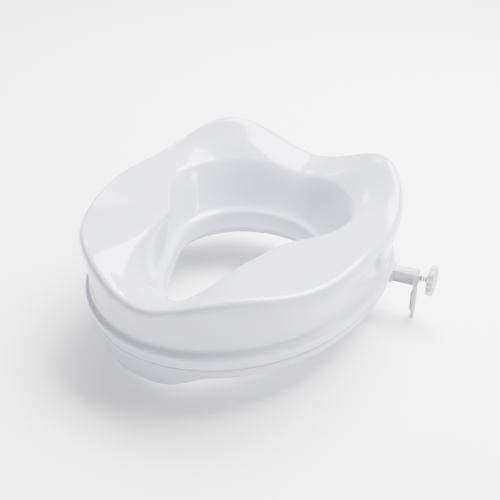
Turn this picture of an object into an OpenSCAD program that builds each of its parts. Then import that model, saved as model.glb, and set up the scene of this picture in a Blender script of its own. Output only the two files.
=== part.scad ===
// Contoured raised seat for a lavatory: a moulded top shell on a base shell with a
// locating chin at the front, held to the bowl by a screw clamp on each side.
// Millimetres, +Z up, the open front of the seat faces -Y, origin at the centre of the base.

/* [Outline] */
// Mean reach of the flange roll from its middle
flange_r = 196.6; // [180:0.1:210]
// How much longer the seat is than it is wide
oval = 12.1; // [0:0.1:20]
// How square the front of the outline is
front_square = 6.9; // [0:0.1:10]
// Forward lean of the outline
lean = 1.1; // [-4:0.1:4]
// How far the middle of the roll sits behind the middle of the seat
hub_y = 8; // [0:0.5:15]

/* [Heights] */
// Underside of the flange, where it rests on the bowl rim
rim_z = 48; // [40:0.5:55]
// Line where the two shells meet
seam_z = 64; // [58:0.5:68]
// Centre of the roll round the top shell
roll_z = 80; // [74:0.5:86]
// Height of the side pads over the roll
side_rise = 74; // [55:0.5:90]
// Extra height of the two rear corners
corner_rise = 34; // [0:0.5:40]
// Depth of the recess at the back
rear_dip = 7; // [0:0.5:20]
// Depth of the recess at the front
front_dip = 22; // [0:0.5:30]
// How far the front chin hangs below the flange
chin = 17; // [0:0.5:22]
// Height of the lip round the opening
lip_z = 90; // [82:0.5:96]
// Lower end of the wall inside the opening
lip_end = 66; // [60:0.5:70]

/* [Opening] */
// Reach of the opening at the back
lip_r = 108; // [98:0.5:114]
// Extra reach of the narrow front end
lip_front = 20; // [10:0.5:30]
// How much the opening narrows at the thighs
lip_waist = 24; // [0:0.5:28]

/* [Shell] */
// Wall of the top shell
wall = 3; // [2.4:0.1:4]
// Gap left at the joint between the shells
seam_gap = 0.3; // [0.2:0.05:0.6]

/* [Clamp] */
// Where the arm leaves the wall, sideways
arm_x = 167; // [160:0.5:174]
// Where the arm leaves the wall, along the seat
arm_y = 117; // [100:0.5:130]
// Centre height of the arm
arm_z = 61; // [60.5:0.1:62]
// Angle of the arm towards the back
arm_turn = 10; // [0:0.5:14]
// Width and height of the arm
arm_w = 16; // [14:0.5:17]
// Reach of the arm outside the wall
arm_out = 34; // [32:0.5:40]
// Reach of the arm inside the wall
arm_in = 24; // [22:0.5:28]
// Plate thickness of the leg
leg_t = 4; // [3:0.1:5]
// Width of the leg at its foot
leg_foot = 8.5; // [6:0.5:14]
// Screw diameter over the thread
bolt_d = 9.6; // [8:0.1:11]
// Clearance round sliding and turning parts
fit = 0.08; // [0.05:0.01:0.1]
// Knob diameter
knob_d = 40; // [34:0.5:46]
// Knob thickness
knob_t = 9.5; // [8:0.5:12]
// Space between the arm and the knob
knob_gap = 12; // [8:0.5:14]

/* [Pads] */
// Diameter of the non-slip pads under the flange
pad_d = 20; // [14:0.5:26]
// Thickness of the pads
pad_t = 2.4; // [1.5:0.1:4]

/* [Hidden] */
steps = 90;
bolt_r = bolt_d / 2;
// head wall at the outer end of the arm
head_t = 6;
sleeve_t = 1.6;
sleeve_w = arm_w + 2 * fit + 2 * sleeve_t;
nut_s = -58;
nut_t = 9;
tip_s = -64;

// ---- rails: reach and height round the seat, a = 0 at the front, 180 at the back ----
function swell(a, c, w) = exp(-pow((abs(a) - c) / w, 2));
function flange(a) = flange_r + lean * cos(a) + oval * cos(2 * a) + front_square * cos(3 * a)
    - 3.6 * cos(4 * a) + 2.1 * cos(5 * a);
function crest_z(a) = roll_z + side_rise - front_dip * swell(a, 0, 18) + 3 * swell(a, 32, 12)
    - 4 * swell(a, 60, 14) + 3 * swell(a, 88, 14) + corner_rise * swell(a, 144, 20)
    - rear_dip * swell(a, 180, 14);
function crest_inset(a) = 6.5 + 2.8 * cos(a) + 2.2 * cos(2 * a) + 2.6 * cos(3 * a);
function crease_r(a) = 152 + 30 * swell(a, 14, 14)
    - 62 * (abs(a) < 66 ? swell(a, 66, 44) : swell(a, 66, 40));
function crease_z(a) = roll_z + 72 - 2 * swell(a, 52, 26) - 36 * swell(a, 0, 17) - 14 * swell(a, 180, 14);
function lip(a) = lip_r - lip_waist * (abs(a) < 62 ? swell(a, 62, 34) : swell(a, 62, 50))
    + lip_front * swell(a, 0, 24);
function chin_z(a) = rim_z - chin * exp(-pow(a / 17, 4));

function mix2(p, q, t) = [p[0] + (q[0] - p[0]) * t, p[1] + (q[1] - p[1]) * t];

// section of the top shell: a chain of points from the seam over the pad to the opening
function seat_chain(a) = let (R = flange(a), zc = crest_z(a), L = lip(a), E = R - crest_inset(a) + 9,
        crest = [E - 12, zc + 0.5], edge = [crease_r(a), crease_z(a)], foot = [L + 9, lip_z + 4])
    [[R - 4, seam_z + seam_gap], [R - 4, seam_z + 5], [R - 1, roll_z - 6], [R + 1.2, roll_z - 1],
     [R - 0.6, roll_z + 4], [R - 6, roll_z + 7], [R - 7.5, roll_z + 12],
     [(R + E) / 2 - 4.5, (roll_z + zc) / 2], [E - 0.5, zc - 18], [E + 0.5, zc - 7], [E - 3, zc + 1], crest,
     mix2(crest, edge, 0.35), mix2(crest, edge, 0.7) + [0, 1], edge + [1.5, 1], edge + [-3, -2.5],
     mix2(edge, foot, 0.3) + [-2, 0], mix2(edge, foot, 0.65) + [-1, -1.5], foot,
     [L + 1.5, lip_z + 0.8], [L - 0.2, lip_z - 4], [L - 0.6, lip_z - 14], [L - 1, lip_end + 0.2]];

// points along a chain, rounded off at its corners
function round_chain(c, k) = let (n = len(c)) concat([c[0]],
    [for (i = [1:n - 2]) for (j = [0:k - 1]) let (t = (j + 0.5) / k,
        p = i == 1 ? c[0] : (c[i - 1] + c[i]) / 2, q = c[i],
        r = i == n - 2 ? c[n - 1] : (c[i] + c[i + 1]) / 2)
        p * (1 - t) * (1 - t) + q * 2 * t * (1 - t) + r * t * t],
    [c[n - 1]]);

// the same chain moved to the inside of the wall, in reverse
function inner_chain(c, t) = let (n = len(c)) [for (i = [n - 1:-1:0])
    let (d = c[min(i + 1, n - 1)] - c[max(i - 1, 0)], m = norm(d)) c[i] + [-d[1], d[0]] * t / m];

function seat_loop(a) = concat(round_chain(seat_chain(a), 2),
    inner_chain(round_chain(seat_chain(a), 1), wall));

function base_loop(a) = let (R = flange(a), L = lip(a) + 2.7, F = L + 13.3, c = chin_z(a), e = lip_end,
        s = seam_z - seam_gap / 2)
    [[R - 4, s], [R - 4.6, rim_z + 10], [R - 6, (rim_z + c) / 2 + 4.5], [R - 8.5, c + 1.4], [R - 11, c],
     [R - 14.5, c], [R - 17, rim_z], [F + 4, rim_z], [F - 1, rim_z + 1.5], [L + 4, e - 2.5],
     [L + 1.5, e - 0.2], [L, e + 0.4], [L, e + 10], [L + 2, e + 10], [L + 2.2, e + 3.6], [L + 5, e + 1.6],
     [F, rim_z + 5.5], [F + 5, rim_z + 3], [R - 16, rim_z + 3], [R - 12, rim_z + 4.6],
     [R - 9.6, rim_z + 9], [R - 9.2, s + 4], [R - 7.6, s + 4], [R - 7.6, s]];

module swept(loops) {
    n = len(loops);
    m = len(loops[0]);
    pts = [for (i = [0:n - 1]) for (p = loops[i])
        let (a = 360 * i / n) [p[0] * sin(a), hub_y - p[0] * cos(a), p[1]]];
    tris = [for (i = [0:n - 1]) for (j = [0:m - 1])
        let (u = (i + 1) % n, v = (j + 1) % m)
        each [[i * m + j, i * m + v, u * m + v], [i * m + j, u * m + v, u * m + j]]];
    polyhedron(points = pts, faces = tris, convexity = 10);
}

function turns() = [for (i = [0:steps - 1]) let (a = 360 * i / steps) a > 180 ? a - 360 : a];

// ---- clamp frame: s runs outwards along the arm axis from the wall ----
module right_side() {
    translate([arm_x, arm_y, arm_z]) rotate([0, 0, arm_turn]) children();
}
module left_side() {
    mirror([1, 0, 0]) right_side() children();
}
module along(s0, s1, d, n = 64) {
    translate([s0, 0, 0]) rotate([0, 90, 0]) cylinder(d = d, h = s1 - s0, $fn = n);
}
module bar(s0, s1, w, h) {
    translate([s0, -w / 2, -h / 2]) cube([s1 - s0, w, h]);
}

module arm_window() {
    bar(-24, 12, sleeve_w + 0.3, sleeve_w + 0.3);
}

// ---- moulded shells ----
module seat_shell() {
    color([0.90, 0.90, 0.94]) difference() {
        swept([for (a = turns()) seat_loop(a)]);
        right_side() arm_window();
        left_side() arm_window();
    }
}

module base_shell() {
    color([0.88, 0.88, 0.92]) difference() {
        swept([for (a = turns()) base_loop(a)]);
        right_side() arm_window();
        left_side() arm_window();
    }
}

// ---- non-slip pads under the flange ----
module rim_pad(side, a) {
    r = flange(a) - 34;
    color([0.70, 0.70, 0.71]) translate([side * r * sin(a), hub_y - r * cos(a), rim_z - pad_t - 0.05])
        rotate_extrude($fn = 48) polygon([[0, 0], [pad_d / 2 - 0.8, 0], [pad_d / 2, 0.8],
            [pad_d / 2, pad_t], [0, pad_t]]);
}
module front_left_pad() { rim_pad(-1, 48); }
module front_right_pad() { rim_pad(1, 48); }
module rear_left_pad() { rim_pad(-1, 138); }
module rear_right_pad() { rim_pad(1, 138); }

// ---- guide sleeve with its outer bezel ----
module sleeve() {
    color([0.86, 0.86, 0.90]) difference() {
        union() {
            bar(-24, 1.5, sleeve_w, sleeve_w);
            bar(-0.5, 1.5, sleeve_w + 1.2, sleeve_w + 1.2);
        }
        bar(-30, 10, arm_w + 2 * fit, arm_w + 2 * fit);
    }
}

// ---- cradle that stops the nut turning ----
module cradle() {
    w = 20;
    color([0.84, 0.84, 0.88]) difference() {
        bar(nut_s - nut_t / 2 - 2.5, nut_s + nut_t / 2 + 2.5, w, w - 0.4);
        bar(nut_s - nut_t / 2 - 0.05, nut_s + nut_t / 2 + 0.05, 16.1, w + 8);
        along(nut_s - 20, nut_s + 20, bolt_d + 2);
    }
}

module nut() {
    color([0.72, 0.73, 0.75]) difference() {
        translate([nut_s - nut_t / 2, 0, 0]) rotate([0, 90, 0])
            cylinder(d = 16 / cos(30), h = nut_t, $fn = 6);
        along(nut_s - 10, nut_s + 10, bolt_d + 2 * fit);
    }
}

// ---- sliding bracket: hollow arm with a leg hanging outside the bowl ----
module bracket() {
    color([0.85, 0.84, 0.84]) difference() {
        union() {
            bar(-arm_in, arm_out - 3, arm_w, arm_w);
            // rounded outer end of the arm
            intersection() {
                bar(arm_out - 4, arm_out, arm_w, arm_w);
                along(arm_out - 4, arm_out, arm_w + 5.4);
            }
            // leg plate, tapering to its foot
            translate([arm_out - leg_t - 1, 0, 0]) rotate([90, 0, 90]) linear_extrude(leg_t)
                polygon([[-arm_w / 2, 0], [-arm_w / 2, -arm_w / 2], [-leg_foot / 2 - 1, -arm_z + 4],
                    [-leg_foot / 2, -arm_z + 1], [-leg_foot / 2 + 2, -arm_z],
                    [leg_foot / 2 - 2, -arm_z], [leg_foot / 2, -arm_z + 1],
                    [leg_foot / 2 + 1, -arm_z + 4], [arm_w / 2, -arm_w / 2], [arm_w / 2, 0]]);
            // gusset under the arm
            rotate([90, 0, 0]) translate([0, 0, -1.5]) linear_extrude(3)
                polygon([[arm_out - 7, -arm_w / 2 + 1], [arm_out - 3, -arm_w / 2 + 1],
                    [arm_out - 3, -arm_w / 2 - 9]]);
        }
        along(-arm_in - 1, arm_out - head_t, 12.4);
        along(arm_out - head_t - 1, arm_out + 1, bolt_d + 2 * fit);
    }
}

// ---- rubber grip on the inner face of the leg ----
module grip() {
    s = arm_out - leg_t - 1.05;
    color([0.70, 0.70, 0.71]) translate([s - 2.5, 0, 0]) rotate([90, 0, 90]) linear_extrude(2.5)
        polygon([[-5.6, -22], [-4, -48], [-3, -49.5], [3, -49.5], [4, -48], [5.6, -22], [4.6, -20.5],
            [-4.6, -20.5]]);
}

// ---- screw, clip, washer and knob turn together ----
module bolt() {
    color([0.80, 0.80, 0.82]) rotate([0, 90, 0]) translate([0, 0, tip_s]) rotate_extrude($fn = 64)
        polygon([[0, 0], [bolt_r - 1.4, 0], [bolt_r, 1.6], [bolt_r, arm_out + knob_gap - tip_s + 6],
            [0, arm_out + knob_gap - tip_s + 6]]);
}
module clip() {
    color([0.62, 0.63, 0.66]) difference() {
        along(arm_out - head_t - 1.7, arm_out - head_t - 0.2, 12.2);
        along(arm_out - head_t - 3, arm_out - head_t + 1, bolt_d + 0.04);
    }
}
module washer() {
    color([0.70, 0.71, 0.73]) difference() {
        along(arm_out + 0.2, arm_out + 1.6, 14);
        along(arm_out - 1, arm_out + 3, bolt_d + 0.04);
    }
}
module knob() {
    s = arm_out + knob_gap;
    color([0.88, 0.87, 0.84]) difference() {
        union() {
            along(s, s + knob_t, knob_d - 5);
            for (i = [0:9]) rotate([36 * i, 0, 0]) translate([0, 0, knob_d / 2 - 4.2])
                along(s + 0.8, s + knob_t - 0.8, 8.4, 32);
            along(s - 1.5, s + 1, 15);
        }
        along(s - 3, s + 6.3, bolt_d + 0.04);
        // shallow dish in the outer face
        translate([s + knob_t - 1.6, 0, 0]) rotate([0, 90, 0])
            cylinder(d1 = 22, d2 = 25, h = 3, $fn = 64);
    }
}

module right_sleeve() { right_side() sleeve(); }
module right_cradle() { right_side() cradle(); }
module right_nut() { right_side() nut(); }
module right_bracket() { right_side() bracket(); }
module right_grip() { right_side() grip(); }
module right_bolt() { right_side() bolt(); }
module right_clip() { right_side() clip(); }
module right_washer() { right_side() washer(); }
module right_knob() { right_side() knob(); }
module left_sleeve() { left_side() sleeve(); }
module left_cradle() { left_side() cradle(); }
module left_nut() { left_side() nut(); }
module left_bracket() { left_side() bracket(); }
module left_grip() { left_side() grip(); }
module left_bolt() { left_side() bolt(); }
module left_clip() { left_side() clip(); }
module left_washer() { left_side() washer(); }
module left_knob() { left_side() knob(); }

seat_shell();
base_shell();
front_left_pad();
front_right_pad();
rear_left_pad();
rear_right_pad();
right_sleeve();
right_cradle();
right_nut();
right_bracket();
right_grip();
right_bolt();
right_clip();
right_washer();
right_knob();
left_sleeve();
left_cradle();
left_nut();
left_bracket();
left_grip();
left_bolt();
left_clip();
left_washer();
left_knob();
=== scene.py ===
import bpy
import bmesh
from math import radians, degrees, sin, cos, atan2, pi, exp, sqrt, floor
from mathutils import Vector, Matrix


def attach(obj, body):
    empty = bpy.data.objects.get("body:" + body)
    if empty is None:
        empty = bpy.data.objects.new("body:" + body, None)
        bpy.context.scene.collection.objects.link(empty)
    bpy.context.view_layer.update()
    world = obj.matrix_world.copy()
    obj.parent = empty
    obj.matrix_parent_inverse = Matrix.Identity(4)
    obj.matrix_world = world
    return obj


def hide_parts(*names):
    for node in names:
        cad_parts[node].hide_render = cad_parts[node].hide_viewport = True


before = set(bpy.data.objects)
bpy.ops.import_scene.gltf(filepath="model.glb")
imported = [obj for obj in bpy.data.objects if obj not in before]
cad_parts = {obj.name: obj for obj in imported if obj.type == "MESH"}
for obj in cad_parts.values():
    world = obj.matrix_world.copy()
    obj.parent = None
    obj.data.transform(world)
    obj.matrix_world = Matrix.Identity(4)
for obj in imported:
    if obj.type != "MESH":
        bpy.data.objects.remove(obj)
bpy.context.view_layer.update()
mm = 0.001


# small helpers
def dropSelection():
    if bpy.context.object and bpy.context.object.mode != 'OBJECT':
        bpy.ops.object.mode_set(mode='OBJECT')
    bpy.ops.object.select_all(action='DESELECT')


def pick(piece):
    dropSelection()
    piece.select_set(True)
    bpy.context.view_layer.objects.active = piece


def applyAll(piece):
    pick(piece)
    for mod in list(piece.modifiers):
        bpy.ops.object.modifier_apply(modifier=mod.name)


def freeze(piece):
    # place, turn and scale go into the mesh
    pick(piece)
    bpy.ops.object.transform_apply(location=True, rotation=True, scale=True)


def smooth(piece, angle=32):
    pick(piece)
    bpy.ops.object.shade_smooth_by_angle(angle=radians(angle))


def bevelEdges(piece, width, segments=3, angle=30):
    mod = piece.modifiers.new("soften", 'BEVEL')
    mod.width = width
    mod.segments = segments
    mod.limit_method = 'ANGLE'
    mod.angle_limit = radians(angle)
    mod.harden_normals = False
    applyAll(piece)


def combine(piece, other, how):
    mod = piece.modifiers.new("cut", 'BOOLEAN')
    mod.operation = how
    mod.solver = 'EXACT'
    mod.object = other
    applyAll(piece)
    bpy.data.objects.remove(other, do_unlink=True)


def block(name, low, high):
    # a cube between two corners, millimetres
    dropSelection()
    mid = [(a + b) / 2 * mm for a, b in zip(low, high)]
    bpy.ops.mesh.primitive_cube_add(size=1, location=mid)
    piece = bpy.context.object
    piece.name = name
    piece.scale = [(b - a) * mm for a, b in zip(low, high)]
    freeze(piece)
    return piece


def rod(name, start, end, radius, sides=64):
    # a round bar along X, millimetres
    dropSelection()
    bpy.ops.mesh.primitive_cylinder_add(vertices=sides, radius=radius * mm, depth=(end - start) * mm,
                                        location=((start + end) / 2 * mm, 0, 0), rotation=(0, pi / 2, 0))
    piece = bpy.context.object
    piece.name = name
    freeze(piece)
    return piece


def ringLoft(name, count, rings, place, close="open"):
    # a circle is extruded ring by ring; place(angle, k) says where each ring's points go
    dropSelection()
    bpy.ops.mesh.primitive_circle_add(vertices=count, radius=0.1)
    piece = bpy.context.object
    piece.name = name
    bpy.ops.object.mode_set(mode='EDIT')
    bpy.ops.mesh.select_all(action='SELECT')
    angles = {}
    for k in range(rings):
        if k:
            bpy.ops.mesh.extrude_region_move()
        bm = bmesh.from_edit_mesh(piece.data)
        ring = [v for v in bm.verts if v.select]
        ring.sort(key=lambda v: v.index)
        for i, v in enumerate(ring):
            if k == 0:
                angles[i] = atan2(v.co.x, -v.co.y)
            v.co = Vector(place(angles[i], k)) * mm
        bmesh.update_edit_mesh(piece.data)
    if close == "caps":
        bpy.ops.mesh.edge_face_add()
        bpy.ops.mesh.select_all(action='DESELECT')
        bpy.ops.mesh.select_non_manifold()
        bpy.ops.mesh.edge_face_add()
    elif close == "loop":
        bpy.ops.mesh.select_all(action='DESELECT')
        bpy.ops.mesh.select_non_manifold()
        bpy.ops.mesh.bridge_edge_loops()
    bpy.ops.mesh.select_all(action='SELECT')
    bpy.ops.mesh.normals_make_consistent(inside=False)
    bpy.ops.object.mode_set(mode='OBJECT')
    return piece


def moveCorners(piece, change):
    # change(x, y, z) gives each corner's new place, millimetres
    for v in piece.data.vertices:
        v.co = Vector(change(*(c / mm for c in v.co))) * mm


def sliceAcross(piece, z):
    # an edge loop round the piece at one height, millimetres
    pick(piece)
    bpy.ops.object.mode_set(mode='EDIT')
    bpy.ops.mesh.select_all(action='SELECT')
    bpy.ops.mesh.bisect(plane_co=(0, 0, z * mm), plane_no=(0, 0, 1))
    bpy.ops.object.mode_set(mode='OBJECT')


def copyPiece(piece, name):
    pick(piece)
    bpy.ops.object.duplicate(linked=False)
    twin = bpy.context.object
    twin.name = name
    return twin


# finishes
def mouldedFinish():
    # faint colour drift, gloss variation and a very shallow ripple, shared by all moulded plastics
    group = bpy.data.node_groups.new("mouldedFinish", 'ShaderNodeTree')
    for label, kind, value in (("Colour", 'NodeSocketColor', (0.9, 0.9, 0.93, 1)),
                               ("Drift", 'NodeSocketFloat', 0.03), ("Gloss", 'NodeSocketFloat', 0.15),
                               ("Gloss Spread", 'NodeSocketFloat', 0.06),
                               ("Ripple Size", 'NodeSocketFloat', 60.0), ("Ripple", 'NodeSocketFloat', 0.02),
                               ("Scuff", 'NodeSocketFloat', 0.1)):
        socket = group.interface.new_socket(name=label, in_out='INPUT', socket_type=kind)
        socket.default_value = value
    for label, kind in (("Colour", 'NodeSocketColor'), ("Roughness", 'NodeSocketFloat'),
                        ("Normal", 'NodeSocketVector')):
        group.interface.new_socket(name=label, in_out='OUTPUT', socket_type=kind)
    nodes, links = group.nodes, group.links
    given = nodes.new('NodeGroupInput')
    out = nodes.new('NodeGroupOutput')
    coords = nodes.new('ShaderNodeTexCoord')
    cloud = nodes.new('ShaderNodeTexNoise')
    cloud.inputs['Scale'].default_value = 9
    cloud.inputs['Detail'].default_value = 4
    links.new(coords.outputs['Object'], cloud.inputs['Vector'])
    # colour drifts a little darker and warmer
    darker = nodes.new('ShaderNodeMix')
    darker.data_type = 'RGBA'
    darker.blend_type = 'MULTIPLY'
    darker.inputs[7].default_value = (0.80, 0.79, 0.74, 1)
    amount = nodes.new('ShaderNodeMath')
    amount.operation = 'MULTIPLY'
    links.new(cloud.outputs['Fac'], amount.inputs[0])
    links.new(given.outputs['Drift'], amount.inputs[1])
    links.new(amount.outputs[0], darker.inputs[0])
    links.new(given.outputs['Colour'], darker.inputs[6])
    # fine handling scuffs dull the gloss in patches
    streak = nodes.new('ShaderNodeTexNoise')
    streak.inputs['Scale'].default_value = 55
    streak.inputs['Detail'].default_value = 8
    streak.inputs['Distortion'].default_value = 0.8
    links.new(coords.outputs['Object'], streak.inputs['Vector'])
    patch = nodes.new('ShaderNodeMapRange')
    patch.inputs['From Min'].default_value = 0.45
    patch.inputs['From Max'].default_value = 0.75
    links.new(streak.outputs['Fac'], patch.inputs['Value'])
    scuff = nodes.new('ShaderNodeMath')
    scuff.operation = 'MULTIPLY'
    links.new(patch.outputs['Result'], scuff.inputs[0])
    links.new(given.outputs['Scuff'], scuff.inputs[1])
    spread = nodes.new('ShaderNodeMath')
    spread.operation = 'MULTIPLY_ADD'
    links.new(cloud.outputs['Fac'], spread.inputs[0])
    links.new(given.outputs['Gloss Spread'], spread.inputs[1])
    links.new(given.outputs['Gloss'], spread.inputs[2])
    rough = nodes.new('ShaderNodeMath')
    rough.operation = 'ADD'
    rough.use_clamp = True
    links.new(spread.outputs[0], rough.inputs[0])
    links.new(scuff.outputs[0], rough.inputs[1])
    # shallow ripple of a moulded skin
    ripple = nodes.new('ShaderNodeTexNoise')
    ripple.inputs['Detail'].default_value = 2
    links.new(coords.outputs['Object'], ripple.inputs['Vector'])
    links.new(given.outputs['Ripple Size'], ripple.inputs['Scale'])
    bump = nodes.new('ShaderNodeBump')
    bump.inputs['Distance'].default_value = 0.001
    links.new(given.outputs['Ripple'], bump.inputs['Strength'])
    links.new(ripple.outputs['Fac'], bump.inputs['Height'])
    links.new(darker.outputs[2], out.inputs['Colour'])
    links.new(rough.outputs[0], out.inputs['Roughness'])
    links.new(bump.outputs['Normal'], out.inputs['Normal'])
    return group


finishGroup = mouldedFinish()


def plastic(name, colour, gloss, drift=0.03, spread=0.05, rippleSize=60, ripple=0.02, scuff=0.06,
            coat=0.0, scatter=0.0, scatterReach=0.004, level=0.5):
    mat = bpy.data.materials.new(name)
    mat.use_nodes = True
    nodes, links = mat.node_tree.nodes, mat.node_tree.links
    shader = nodes['Principled BSDF']
    skin = nodes.new('ShaderNodeGroup')
    skin.node_tree = finishGroup
    skin.inputs['Colour'].default_value = (*colour, 1)
    skin.inputs['Drift'].default_value = drift
    skin.inputs['Gloss'].default_value = gloss
    skin.inputs['Gloss Spread'].default_value = spread
    skin.inputs['Ripple Size'].default_value = rippleSize
    skin.inputs['Ripple'].default_value = ripple
    skin.inputs['Scuff'].default_value = scuff
    links.new(skin.outputs['Colour'], shader.inputs['Base Color'])
    links.new(skin.outputs['Roughness'], shader.inputs['Roughness'])
    links.new(skin.outputs['Normal'], shader.inputs['Normal'])
    shader.inputs['Coat Weight'].default_value = coat
    shader.inputs['Coat Roughness'].default_value = 0.04
    shader.inputs['Specular IOR Level'].default_value = level
    shader.inputs['Subsurface Weight'].default_value = scatter
    shader.inputs['Subsurface Radius'].default_value = (1.0, 0.95, 1.05)
    shader.inputs['Subsurface Scale'].default_value = scatterReach
    return mat


def steel(name):
    mat = bpy.data.materials.new(name)
    mat.use_nodes = True
    nodes, links = mat.node_tree.nodes, mat.node_tree.links
    shader = nodes['Principled BSDF']
    coords = nodes.new('ShaderNodeTexCoord')
    stretch = nodes.new('ShaderNodeMapping')
    stretch.inputs['Scale'].default_value = (40, 900, 900)
    grain = nodes.new('ShaderNodeTexNoise')
    grain.inputs['Scale'].default_value = 3
    grain.inputs['Detail'].default_value = 5
    links.new(coords.outputs['Object'], stretch.inputs['Vector'])
    links.new(stretch.outputs['Vector'], grain.inputs['Vector'])
    tone = nodes.new('ShaderNodeValToRGB')
    tone.color_ramp.elements[0].color = (0.50, 0.51, 0.53, 1)
    tone.color_ramp.elements[1].color = (0.74, 0.75, 0.77, 1)
    links.new(grain.outputs['Fac'], tone.inputs['Fac'])
    rough = nodes.new('ShaderNodeMapRange')
    rough.inputs['To Min'].default_value = 0.22
    rough.inputs['To Max'].default_value = 0.42
    links.new(grain.outputs['Fac'], rough.inputs['Value'])
    bump = nodes.new('ShaderNodeBump')
    bump.inputs['Strength'].default_value = 0.08
    bump.inputs['Distance'].default_value = 0.0004
    links.new(grain.outputs['Fac'], bump.inputs['Height'])
    links.new(tone.outputs['Color'], shader.inputs['Base Color'])
    links.new(rough.outputs['Result'], shader.inputs['Roughness'])
    links.new(bump.outputs['Normal'], shader.inputs['Normal'])
    shader.inputs['Metallic'].default_value = 1.0
    return mat


glossWhite = plastic("glossWhiteShell", (0.55, 0.55, 0.665), 0.12, drift=0.05, spread=0.05, rippleSize=45,
                     ripple=0.010, scuff=0.03, coat=0.25, scatter=0.08, scatterReach=0.006)
satinWhite = plastic("satinWhiteBase", (0.48, 0.48, 0.57), 0.22, drift=0.04, spread=0.05, rippleSize=45,
                     ripple=0.006, scuff=0.03, coat=0.1)
# bracket colour: a light grey nylon tone, darkened further as painted shade standing in for the shaded faces
# of the leg
bracketGreyPaintedShade = plastic("bracketGreyPaintedShade", (0.40, 0.40, 0.425), 0.26, drift=0.10, spread=0.08, rippleSize=160,
                       ripple=0.05, scuff=0.10, coat=0.1, scatter=0.20, scatterReach=0.003)
nylonKnob = plastic("nylonKnob", (0.46, 0.455, 0.46), 0.32, drift=0.10, spread=0.08, rippleSize=220,
                    ripple=0.06, scuff=0.12, scatter=0.35, scatterReach=0.004)
nylonScrew = plastic("nylonScrew", (0.20, 0.20, 0.215), 0.34, drift=0.15, spread=0.1, rippleSize=300,
                     ripple=0.05, scuff=0.12, scatter=0.15, scatterReach=0.002)
paleRubber = plastic("paleRubber", (0.30, 0.30, 0.31), 0.62, drift=0.18, spread=0.12, rippleSize=700,
                     ripple=0.25, scuff=0.12, level=0.35)
brightSteel = steel("brightSteel")
print("materials ready")


def dress(piece, material, slotName, body, *nodes):
    piece.data.materials.clear()
    piece.data.materials.append(material)
    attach(piece, body)
    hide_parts(*nodes)


# rails round the seat, angle 0 at the front, pi at the back
seat = {
    "hubY": 8, "flangeR": 196.6, "oval": 12.1, "frontSquare": 6.9, "lean": 1.1, "cornerSquare": 3.6,
    "rearSquare": 2.1,
    "rimZ": 48, "seamZ": 64, "rollZ": 80, "sideRise": 74,
    "cornerRise": 34, "rearDip": 7, "frontDip": 22, "chin": 17,
    "lipZ": 90, "lipEnd": 66, "lipR": 108, "lipFront": 20, "lipWaist": 24,
    "wall": 3, "seamGap": 0.3,
    "steps": 240, "finer": 4,
}


def swell(a, centre, width):
    return exp(-(((abs(degrees(a)) - centre) / width) ** 2))


def flange(a):
    return (seat["flangeR"] + seat["lean"] * cos(a) + seat["oval"] * cos(2 * a)
            + seat["frontSquare"] * cos(3 * a) - seat["cornerSquare"] * cos(4 * a)
            + seat["rearSquare"] * cos(5 * a))


def crestZ(a):
    # height of the top edge: front recess, side pads, rear corners and rear recess
    return (seat["rollZ"] + seat["sideRise"] - seat["frontDip"] * swell(a, 0, 18) + 3 * swell(a, 32, 12)
            - 4 * swell(a, 60, 14) + 3 * swell(a, 88, 14) + seat["cornerRise"] * swell(a, 144, 20)
            - seat["rearDip"] * swell(a, 180, 14))


def crestInset(a):
    # how far the top edge stands in from the roll
    return 6.5 + 2.8 * cos(a) + 2.2 * cos(2 * a) + 2.6 * cos(3 * a)


def creaseR(a):
    # inner edge of the pads, closest to the middle at the thighs
    waist = swell(a, 66, 44) if abs(degrees(a)) < 66 else swell(a, 66, 40)
    return 152 + 30 * swell(a, 14, 14) - 62 * waist


def creaseZ(a):
    return seat["rollZ"] + 72 - 2 * swell(a, 52, 26) - 36 * swell(a, 0, 17) - 14 * swell(a, 180, 14)


def lipReach(a):
    waist = swell(a, 62, 34) if abs(degrees(a)) < 62 else swell(a, 62, 50)
    return seat["lipR"] - seat["lipWaist"] * waist + seat["lipFront"] * swell(a, 0, 24)


def chinZ(a):
    return seat["rimZ"] - seat["chin"] * exp(-(degrees(a) / 17) ** 4)


def between(p, q, t, shift=(0, 0)):
    return (p[0] + (q[0] - p[0]) * t + shift[0], p[1] + (q[1] - p[1]) * t + shift[1])


def seatChain(a):
    reach, top, lip = flange(a), crestZ(a), lipReach(a)
    rollZ, seamZ = seat["rollZ"], seat["seamZ"]
    rim = reach - crestInset(a) + 9
    crest = (rim - 12, top + 0.5)
    edge = (creaseR(a), creaseZ(a))
    foot = (lip + 9, seat["lipZ"] + 4)
    return [(reach - 4, seamZ + seat["seamGap"]), (reach - 4, seamZ + 5), (reach - 1, rollZ - 6),
            (reach + 1.2, rollZ - 1), (reach - 0.6, rollZ + 4), (reach - 6, rollZ + 7),
            (reach - 7.5, rollZ + 12), ((reach + rim) / 2 - 4.5, (rollZ + top) / 2), (rim - 0.5, top - 18),
            (rim + 0.5, top - 7), (rim - 3, top + 1), crest, between(crest, edge, 0.35),
            between(crest, edge, 0.7, (0, 1)), (edge[0] + 1.5, edge[1] + 1), (edge[0] - 3, edge[1] - 2.5),
            between(edge, foot, 0.3, (-2, 0)), between(edge, foot, 0.65, (-1, -1.5)), foot,
            (lip + 1.5, seat["lipZ"] + 0.8), (lip - 0.2, seat["lipZ"] - 4), (lip - 0.6, seat["lipZ"] - 14),
            (lip - 1, seat["lipEnd"] + 0.2)]


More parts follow.
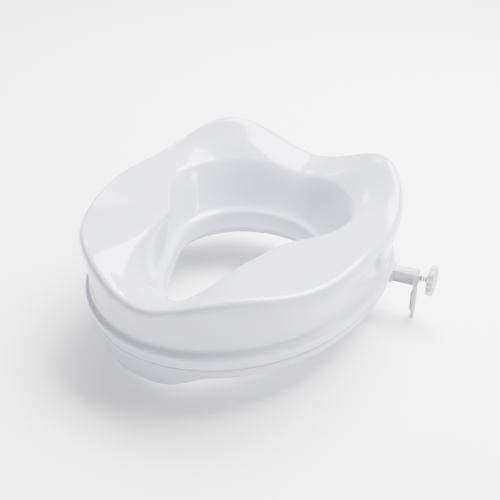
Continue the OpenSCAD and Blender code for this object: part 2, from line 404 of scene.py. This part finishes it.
def baseChain(a):
    reach, lip, low = flange(a), lipReach(a) + 2.7, chinZ(a)
    turnUp, end = lip + 13.3, seat["lipEnd"]
    rimZ, top = seat["rimZ"], seat["seamZ"] - seat["seamGap"] / 2
    return [(reach - 4, top), (reach - 4.6, rimZ + 10), (reach - 6, (rimZ + low) / 2 + 4.5),
            (reach - 8.5, low + 1.4), (reach - 11, low), (reach - 14.5, low), (reach - 17, rimZ),
            (turnUp + 4, rimZ), (turnUp - 1, rimZ + 1.5), (lip + 4, end - 2.5), (lip + 1.5, end - 0.2),
            (lip, end + 0.4), (lip, end + 10), (lip + 2, end + 10), (lip + 2.2, end + 3.6),
            (lip + 5, end + 1.6), (turnUp, rimZ + 5.5), (turnUp + 5, rimZ + 3),
            (reach - 16, rimZ + 3), (reach - 12, rimZ + 4.6), (reach - 9.6, rimZ + 9), (reach - 9.2, top + 4),
            (reach - 7.6, top + 4), (reach - 7.6, top)]


def rounded(chain, k):
    # the chain with its corners rounded off
    points = [chain[0]]
    last = len(chain) - 2
    for i in range(1, len(chain) - 1):
        p = chain[0] if i == 1 else between(chain[i - 1], chain[i], 0.5)
        r = chain[-1] if i == last else between(chain[i], chain[i + 1], 0.5)
        q = chain[i]
        for j in range(k):
            t = (j + 0.5) / k
            points.append(tuple(p[c] * (1 - t) ** 2 + q[c] * 2 * t * (1 - t) + r[c] * t * t for c in (0, 1)))
    points.append(chain[-1])
    return points


def softCorners(loop, reach=0.8):
    # a closed loop with a small round at each corner
    points = []
    for i, q in enumerate(loop):
        p, r = loop[i - 1], loop[(i + 1) % len(loop)]
        d1, d2 = sqrt((p[0] - q[0]) ** 2 + (p[1] - q[1]) ** 2), sqrt((r[0] - q[0]) ** 2 + (r[1] - q[1]) ** 2)
        t1, t2 = min(0.4, reach / max(d1, 0.01)), min(0.4, reach / max(d2, 0.01))
        a1, a2 = between(q, p, t1), between(q, r, t2)
        middle = (a1[0] * 0.25 + q[0] * 0.5 + a2[0] * 0.25, a1[1] * 0.25 + q[1] * 0.5 + a2[1] * 0.25)
        points += [a1, middle, a2]
    return points


def sweepPlace(section):
    known = {}

    def place(a, k):
        key = round(a, 6)
        if key not in known:
            known[key] = section(a)
        reach, height = known[key][k]
        return (reach * sin(a), seat["hubY"] - reach * cos(a), height)
    return place


# clamp frame: X runs outwards along the arm
clamp = {
    "x": 167, "y": 117, "z": 61, "turn": 10,
    "armWide": 16, "armOut": 34, "armIn": 24, "head": 6,
    "legThick": 4, "legFoot": 8.5, "bolt": 9.6, "pitch": 3, "fit": 0.08,
    "knob": 40, "knobThick": 9.5, "knobGap": 12, "sleeveThick": 1.6,
    "nutAt": -58, "nutThick": 9, "tipAt": -64,
}
sleeveWide = clamp["armWide"] + 2 * clamp["fit"] + 2 * clamp["sleeveThick"]
sides = {
    "right": Matrix.Translation(Vector((clamp["x"], clamp["y"], clamp["z"])) * mm)
    @ Matrix.Rotation(radians(clamp["turn"]), 4, 'Z'),
    "left": Matrix.Translation(Vector((-clamp["x"], clamp["y"], clamp["z"])) * mm)
    @ Matrix.Rotation(radians(180 - clamp["turn"]), 4, 'Z'),
}


def onBothSides(piece, label, material, slotName, bodies, nodeWord, angle=32):
    smooth(piece, angle)
    for side in ("right", "left"):
        twin = copyPiece(piece, side + label)
        twin.matrix_world = sides[side]
        freeze(twin)
        dress(twin, material, slotName, bodies[side], side + "_" + nodeWord)
    bpy.data.objects.remove(piece, do_unlink=True)


seatBody = {"right": "seat", "left": "seat"}
clampBody = {"right": "right_clamp", "left": "left_clamp"}
screwBody = {"right": "right_screw", "left": "left_screw"}


def makeSeatShell():
    section = lambda a: rounded(seatChain(a), seat["finer"])
    rings = len(section(0))
    piece = ringLoft("seatShell", seat["steps"], rings, sweepPlace(section))
    # the skin is thickened inwards
    pick(piece)
    mod = piece.modifiers.new("wall", 'SOLIDIFY')
    mod.thickness = seat["wall"] * mm
    mod.offset = -1
    applyAll(piece)
    bevelEdges(piece, 0.7 * mm, 2, 50)
    return piece


def cutWindows(piece):
    for side in ("right", "left"):
        half = (sleeveWide + 0.3) / 2
        cutter = block("windowCutter", (-24, -half, -half), (12, half, half))
        cutter.matrix_world = sides[side]
        freeze(cutter)
        combine(piece, cutter, 'DIFFERENCE')


seatShell = makeSeatShell()
cutWindows(seatShell)
smooth(seatShell, 40)
dress(seatShell, glossWhite, "shell", "seat", "seat_shell")
print("top shell done,", len(seatShell.data.polygons), "faces")


def makeBaseShell():
    section = lambda a: softCorners(baseChain(a))
    rings = len(section(0))
    return ringLoft("baseShell", seat["steps"], rings, sweepPlace(section), close="loop")


baseShell = makeBaseShell()
cutWindows(baseShell)
smooth(baseShell, 40)
dress(baseShell, satinWhite, "base", "seat", "base_shell")
print("base shell done")


# non-slip pads under the flange
rimPad = {"across": 20, "thick": 2.4, "grooves": (3.0, 5.4, 7.6), "places": {
    "frontLeftPad": (-1, 48, "front_left_pad"), "frontRightPad": (1, 48, "front_right_pad"),
    "rearLeftPad": (-1, 138, "rear_left_pad"), "rearRightPad": (1, 138, "rear_right_pad")}}


def makeRimPad():
    half, thick = rimPad["across"] / 2, rimPad["thick"]
    profile = [(0.6, thick), (half - 0.3, thick), (half, thick - 0.3), (half, 0.8), (half - 0.25, 0.25),
               (half - 0.8, 0)]
    for g in reversed(rimPad["grooves"]):
        profile += [(g + 0.6, 0), (g + 0.35, 0.55), (g - 0.35, 0.55), (g - 0.6, 0)]
    profile += [(0.9, 0)]

    def place(a, k):
        reach, height = profile[k]
        return (reach * sin(a), -reach * cos(a), height)
    return ringLoft("rimPad", 64, len(profile), place, close="caps")


padMaster = makeRimPad()
smooth(padMaster, 35)
for name, (side, turn, node) in rimPad["places"].items():
    twin = copyPiece(padMaster, name)
    a = radians(turn)
    reach = flange(a) - 34
    twin.location = Vector((side * reach * sin(a), seat["hubY"] - reach * cos(a),
                            seat["rimZ"] - rimPad["thick"] - 0.05)) * mm
    freeze(twin)
    dress(twin, paleRubber, "pad", "seat", node)
bpy.data.objects.remove(padMaster, do_unlink=True)
print("rim pads done")


# guide sleeve, cradle and nut, which stay with the seat
def makeSleeve():
    half = sleeveWide / 2
    piece = block("sleeve", (-24, -half, -half), (1.5, half, half))
    lip = block("bezel", (-0.5, -half - 0.6, -half - 0.6), (1.5, half + 0.6, half + 0.6))
    bevelEdges(lip, 0.5 * mm, 3)
    combine(piece, lip, 'UNION')
    bore = (clamp["armWide"] + 2 * clamp["fit"]) / 2
    combine(piece, block("bore", (-30, -bore, -bore), (10, bore, bore)), 'DIFFERENCE')
    bevelEdges(piece, 0.25 * mm, 2, 50)
    return piece


onBothSides(makeSleeve(), "Sleeve", satinWhite, "base", seatBody, "sleeve")


def makeCradle():
    low, high = clamp["nutAt"] - clamp["nutThick"] / 2, clamp["nutAt"] + clamp["nutThick"] / 2
    piece = block("cradle", (low - 2.5, -10, -9.8), (high + 2.5, 10, 9.8))
    combine(piece, block("slot", (low - 0.05, -8.05, -14), (high + 0.05, 8.05, 14)), 'DIFFERENCE')
    combine(piece, rod("hole", low - 10, high + 10, clamp["bolt"] / 2 + 1), 'DIFFERENCE')
    bevelEdges(piece, 0.35 * mm, 2, 50)
    return piece


onBothSides(makeCradle(), "Cradle", satinWhite, "base", seatBody, "cradle")


def makeNut():
    low, high = clamp["nutAt"] - clamp["nutThick"] / 2, clamp["nutAt"] + clamp["nutThick"] / 2
    dropSelection()
    bpy.ops.mesh.primitive_cylinder_add(vertices=6, radius=8 / cos(radians(30)) * mm, depth=(high - low) * mm,
                                        location=((low + high) / 2 * mm, 0, 0), rotation=(0, pi / 2, 0))
    piece = bpy.context.object
    freeze(piece)
    bevelEdges(piece, 0.5 * mm, 2, 80)
    combine(piece, rod("bore", low - 5, high + 5, clamp["bolt"] / 2 + clamp["fit"]), 'DIFFERENCE')
    return piece


onBothSides(makeNut(), "Nut", brightSteel, "metal", seatBody, "nut")
print("guides and nuts done")


# sliding bracket with its leg
def makeBracket():
    half = clamp["armWide"] / 2
    out = clamp["armOut"]
    piece = block("arm", (-clamp["armIn"], -half, -half), (out, half, half))
    # the outer end is rounded over on all four edges
    pick(piece)
    bpy.ops.object.mode_set(mode='EDIT')
    bpy.ops.mesh.select_mode(type='FACE')
    bpy.ops.mesh.select_all(action='DESELECT')
    bm = bmesh.from_edit_mesh(piece.data)
    for face in bm.faces:
        face.select = face.normal.x > 0.9
    bmesh.update_edit_mesh(piece.data)
    bpy.ops.mesh.bevel(offset=2.8 * mm, segments=5, affect='EDGES')
    bpy.ops.object.mode_set(mode='OBJECT')
    # leg plate hanging from the outer end, narrowing to its foot
    foot = clamp["legFoot"] / 2
    drop = -clamp["z"]
    leg = block("leg", (out - 5, -half, drop), (out - 1, half, 0))
    sliceAcross(leg, -half)
    moveCorners(leg, lambda x, y, z: (x, y * (foot + 0.2) / half if z < drop + 1 else y, z))
    bevelEdges(leg, 1.0 * mm, 3)
    combine(piece, leg, 'UNION')
    # long rib on the leg's outer face, and a gusset under the arm
    rib = block("rib", (out - 1.4, -1.3, drop + 6), (out - 0.1, 1.3, -half + 2))
    bevelEdges(rib, 0.5 * mm, 2)
    combine(piece, rib, 'UNION')
    gusset = block("gusset", (out - 7, -1.5, -half - 9), (out - 3, 1.5, -half + 1))
    moveCorners(gusset, lambda x, y, z: (x, y, -half - 0.3 if x < out - 5 and z < -half else z))
    combine(piece, gusset, 'UNION')
    # shallow groove along both sides of the arm
    for y in (-1, 1):
        low, high = sorted((y * (half - 0.7), y * (half + 1)))
        combine(piece, block("groove", (-clamp["armIn"] - 1, low, -5.6), (out - 9, high, -4.6)), 'DIFFERENCE')
    combine(piece, rod("core", -clamp["armIn"] - 1, out - clamp["head"], 6.2), 'DIFFERENCE')
    bore = rod("bore", out - clamp["head"] - 1, out + 2, clamp["bolt"] / 2 + clamp["fit"])
    combine(piece, bore, 'DIFFERENCE')
    bevelEdges(piece, 0.45 * mm, 2, 40)
    return piece


onBothSides(makeBracket(), "Bracket", bracketGreyPaintedShade, "bracket", clampBody, "bracket", 30)


def makeGrip():
    at = clamp["armOut"] - clamp["legThick"] - 1.05
    piece = block("grip", (at - 1.2, -5.6, -49.5), (at, 5.6, -20.5))
    for i in range(9):
        z = -47.6 + i * 3.15
        wide = 3.6 + (z + 49) / 28.0 * 1.4
        ridge = block("ridge", (at - 2.5, -wide, z - 0.85), (at - 0.6, wide, z + 0.85))
        bevelEdges(ridge, 0.4 * mm, 2)
        combine(piece, ridge, 'UNION')
    moveCorners(piece, lambda x, y, z: (x, y * (0.72 + 0.28 * (z + 49.5) / 29) if x > at - 1.25 else y, z))
    bevelEdges(piece, 0.2 * mm, 2, 50)
    return piece


onBothSides(makeGrip(), "Grip", paleRubber, "pad", clampBody, "grip")
print("brackets done")


# screw, clip, washer and knob, which turn together
def makeBolt():
    pitch, crest = clamp["pitch"], clamp["bolt"] / 2
    root = crest - 1.0
    perTurn = 12  # rings in one turn of the thread

    def threadPlace(a, k):
        s = k * pitch / perTurn
        phase = (s / pitch - a / (2 * pi)) % 1.0
        level = min(1.0, max(0.0, 1.7 - abs(phase - 0.5) * 5.2))
        reach = root + (crest - root) * level
        return (s, reach * sin(a), -reach * cos(a))
    # known fault: makeBracket leaves the select mode on faces, so this extrudes no ring and the mesh
    # ends up as discs with open edges instead of one closed thread
    piece = ringLoft("bolt", 48, perTurn + 1, threadPlace)
    turnsLong = int(floor((clamp["armOut"] + clamp["knobGap"] + 6 - clamp["tipAt"] - 3) / pitch))
    mod = piece.modifiers.new("repeat", 'ARRAY')
    mod.use_relative_offset = False
    mod.use_constant_offset = True
    mod.constant_offset_displace = (pitch * mm, 0, 0)
    mod.count = turnsLong
    mod.use_merge_vertices = True
    mod.merge_threshold = 0.00002
    applyAll(piece)
    pick(piece)
    bpy.ops.object.mode_set(mode='EDIT')
    # meant to taper both ends
    bpy.ops.mesh.select_mode(type='EDGE')
    bpy.ops.mesh.select_all(action='DESELECT')
    bpy.ops.mesh.select_non_manifold()
    bpy.ops.mesh.extrude_region_move()
    bm = bmesh.from_edit_mesh(piece.data)
    long = turnsLong * pitch * mm
    for v in bm.verts:
        if v.select:
            radius = sqrt(v.co.y ** 2 + v.co.z ** 2)
            inner = (root - 0.6) * mm / radius
            v.co.y *= inner
            v.co.z *= inner
            v.co.x += -1.5 * mm if v.co.x < long / 2 else 1.5 * mm
    bmesh.update_edit_mesh(piece.data)
    bpy.ops.mesh.edge_face_add()
    bpy.ops.object.mode_set(mode='OBJECT')
    # meant to fill both ends
    pick(piece)
    bpy.ops.object.mode_set(mode='EDIT')
    bpy.ops.mesh.select_all(action='DESELECT')
    bpy.ops.mesh.select_non_manifold()
    bpy.ops.mesh.fill()
    bpy.ops.mesh.select_all(action='SELECT')
    bpy.ops.mesh.normals_make_consistent(inside=False)
    bpy.ops.object.mode_set(mode='OBJECT')
    piece.location.x = (clamp["tipAt"] + 1.5) * mm
    freeze(piece)
    return piece


onBothSides(makeBolt(), "Bolt", nylonScrew, "screw", screwBody, "bolt", 40)


def makeClip():
    at = clamp["armOut"] - clamp["head"]
    piece = rod("clip", at - 1.7, at - 0.2, 6.1)
    combine(piece, rod("bore", at - 3, at + 1, clamp["bolt"] / 2), 'DIFFERENCE')
    combine(piece, block("split", (at - 3, -1.2, 0), (at + 1, 1.2, 9)), 'DIFFERENCE')
    bevelEdges(piece, 0.2 * mm, 2, 50)
    return piece


onBothSides(makeClip(), "Clip", brightSteel, "metal", screwBody, "clip")


def makeWasher():
    at = clamp["armOut"]
    piece = rod("washer", at + 0.2, at + 1.6, 7)
    combine(piece, rod("bore", at - 1, at + 3, clamp["bolt"] / 2), 'DIFFERENCE')
    bevelEdges(piece, 0.25 * mm, 2, 50)
    return piece


onBothSides(makeWasher(), "Washer", brightSteel, "metal", screwBody, "washer")

knobShape = {"lobes": 10, "lobeDepth": 1.5, "dish": 1.4, "hub": 7.4}


def makeKnob():
    start = clamp["armOut"] + clamp["knobGap"]
    thick, reach = clamp["knobThick"], clamp["knob"] / 2
    hub = knobShape["hub"]
    # (reach, along, how much of the lobes)
    floorAt = thick - knobShape["dish"]
    profile = [(clamp["bolt"] / 2 - 0.2, -1.4, 0), (hub - 0.5, -1.5, 0), (hub, -1.1, 0), (hub + 0.2, -0.3, 0),
               (hub + 1.2, 0.15, 0), (reach - 6.5, 0.2, 0.1), (reach - 2.6, 0.35, 0.7),
               (reach - 1.0, 0.9, 0.95), (reach - 0.25, 2.0, 1), (reach, 3.4, 1), (reach, thick - 3.4, 1),
               (reach - 0.25, thick - 2.0, 1), (reach - 1.0, thick - 0.9, 0.95),
               (reach - 2.6, thick - 0.25, 0.7), (reach - 5.2, thick - 0.02, 0.2),
               (reach - 7.4, thick - 0.1, 0), (reach - 8.4, thick - 0.6, 0),
               (reach - 9.4, thick - 1.2, 0), (reach - 11, floorAt, 0), (4, floorAt, 0),
               (3.4, floorAt - 0.3, 0), (2.6, floorAt - 0.4, 0), (0.8, floorAt - 0.4, 0)]

    def place(a, k):
        r, s, share = profile[k]
        wave = (1 - cos(knobShape["lobes"] * a)) / 2
        r -= share * knobShape["lobeDepth"] * wave ** 1.6
        return (start + s, r * sin(a), -r * cos(a))
    return ringLoft("knob", 160, len(profile), place, close="caps")


onBothSides(makeKnob(), "Knob", nylonKnob, "knob", screwBody, "knob", 40)
print("screws and knobs done")


# floor, lights and camera
stageLook = {
    "floorColour": (0.97, 0.97, 0.975),
    "skyLow": (0.16, 0.16, 0.175), "skyHigh": (1.0, 1.0, 1.01), "skyPower": 1.25,
    # name: (place, aim, size x, size y, watts, colour)
    "lights": {
        "topSoft": ((0.25, 0.85, 1.80), (0, 0, 0.1), 2.0, 1.1, 265, (1, 1, 1)),
        "leftSoft": ((-1.3, 0.9, 1.3), (0, 0, 0.1), 0.35, 0.35, 8, (0.98, 0.98, 1.0)),
        "rightSoft": ((1.8, 0.75, 0.8), (0, 0, 0.1), 0.4, 0.4, 18, (0.97, 0.97, 1.0)),
    },
}


def makeFloor():
    dropSelection()
    bpy.ops.mesh.primitive_plane_add(size=14, location=(0, 0, 0))
    piece = bpy.context.object
    piece.name = "studioFloor"
    mat = bpy.data.materials.new("studioFloor")
    mat.use_nodes = True
    shader = mat.node_tree.nodes['Principled BSDF']
    noise = mat.node_tree.nodes.new('ShaderNodeTexNoise')
    noise.inputs['Scale'].default_value = 3
    ramp = mat.node_tree.nodes.new('ShaderNodeValToRGB')
    ramp.color_ramp.elements[0].color = (*[c * 0.99 for c in stageLook["floorColour"]], 1)
    ramp.color_ramp.elements[1].color = (*stageLook["floorColour"], 1)
    mat.node_tree.links.new(noise.outputs['Fac'], ramp.inputs['Fac'])
    mat.node_tree.links.new(ramp.outputs['Color'], shader.inputs['Base Color'])
    shader.inputs['Roughness'].default_value = 0.7
    shader.inputs['Specular IOR Level'].default_value = 0.2
    piece.data.materials.append(mat)


def makeLights():
    for name, (place, aim, wide, deep, power, colour) in stageLook["lights"].items():
        data = bpy.data.lights.new(name, 'AREA')
        data.shape = 'RECTANGLE'
        data.size, data.size_y = wide, deep
        data.energy = power
        data.color = colour
        lamp = bpy.data.objects.new(name, data)
        bpy.context.scene.collection.objects.link(lamp)
        lamp.location = place
        lamp.rotation_euler = (Vector(aim) - Vector(place)).to_track_quat('-Z', 'Y').to_euler()
    # a plain dome, darker towards the horizon
    world = bpy.data.worlds.new("studio")
    world.use_nodes = True
    nodes, links = world.node_tree.nodes, world.node_tree.links
    coords = nodes.new('ShaderNodeTexCoord')
    split = nodes.new('ShaderNodeSeparateXYZ')
    rise = nodes.new('ShaderNodeMapRange')
    rise.interpolation_type = 'SMOOTHSTEP'
    rise.inputs['From Min'].default_value = 0.1
    rise.inputs['From Max'].default_value = 0.9
    blend = nodes.new('ShaderNodeMix')
    blend.data_type = 'RGBA'
    blend.inputs[6].default_value = (*stageLook["skyLow"], 1)
    blend.inputs[7].default_value = (*stageLook["skyHigh"], 1)
    links.new(coords.outputs['Generated'], split.inputs['Vector'])
    links.new(split.outputs['Z'], rise.inputs['Value'])
    links.new(rise.outputs['Result'], blend.inputs[0])
    links.new(blend.outputs[2], nodes['Background'].inputs['Color'])
    nodes['Background'].inputs['Strength'].default_value = stageLook["skyPower"]
    bpy.context.scene.world = world


view = {"azimuth": 32.83, "elevation": 32.85, "distance": 1.154, "aim": (0, 0.008, 0.080), "lens": 64.8,
        "shiftX": 0.0222, "shiftY": 0.0209}


def makeCamera():
    a, e = radians(view["azimuth"]), radians(view["elevation"])
    aim = Vector(view["aim"])
    data = bpy.data.cameras.new("studioCamera")
    data.lens = view["lens"]
    data.sensor_width = 36
    data.shift_x, data.shift_y = view["shiftX"], view["shiftY"]
    data.clip_start = 0.01
    eye = bpy.data.objects.new("studioCamera", data)
    bpy.context.scene.collection.objects.link(eye)
    eye.location = aim + view["distance"] * Vector((sin(a) * cos(e), -cos(a) * cos(e), sin(e)))
    eye.rotation_euler = (aim - eye.location).to_track_quat('-Z', 'Y').to_euler()
    bpy.context.scene.camera = eye


makeFloor()
makeLights()
makeCamera()
print("stage ready")
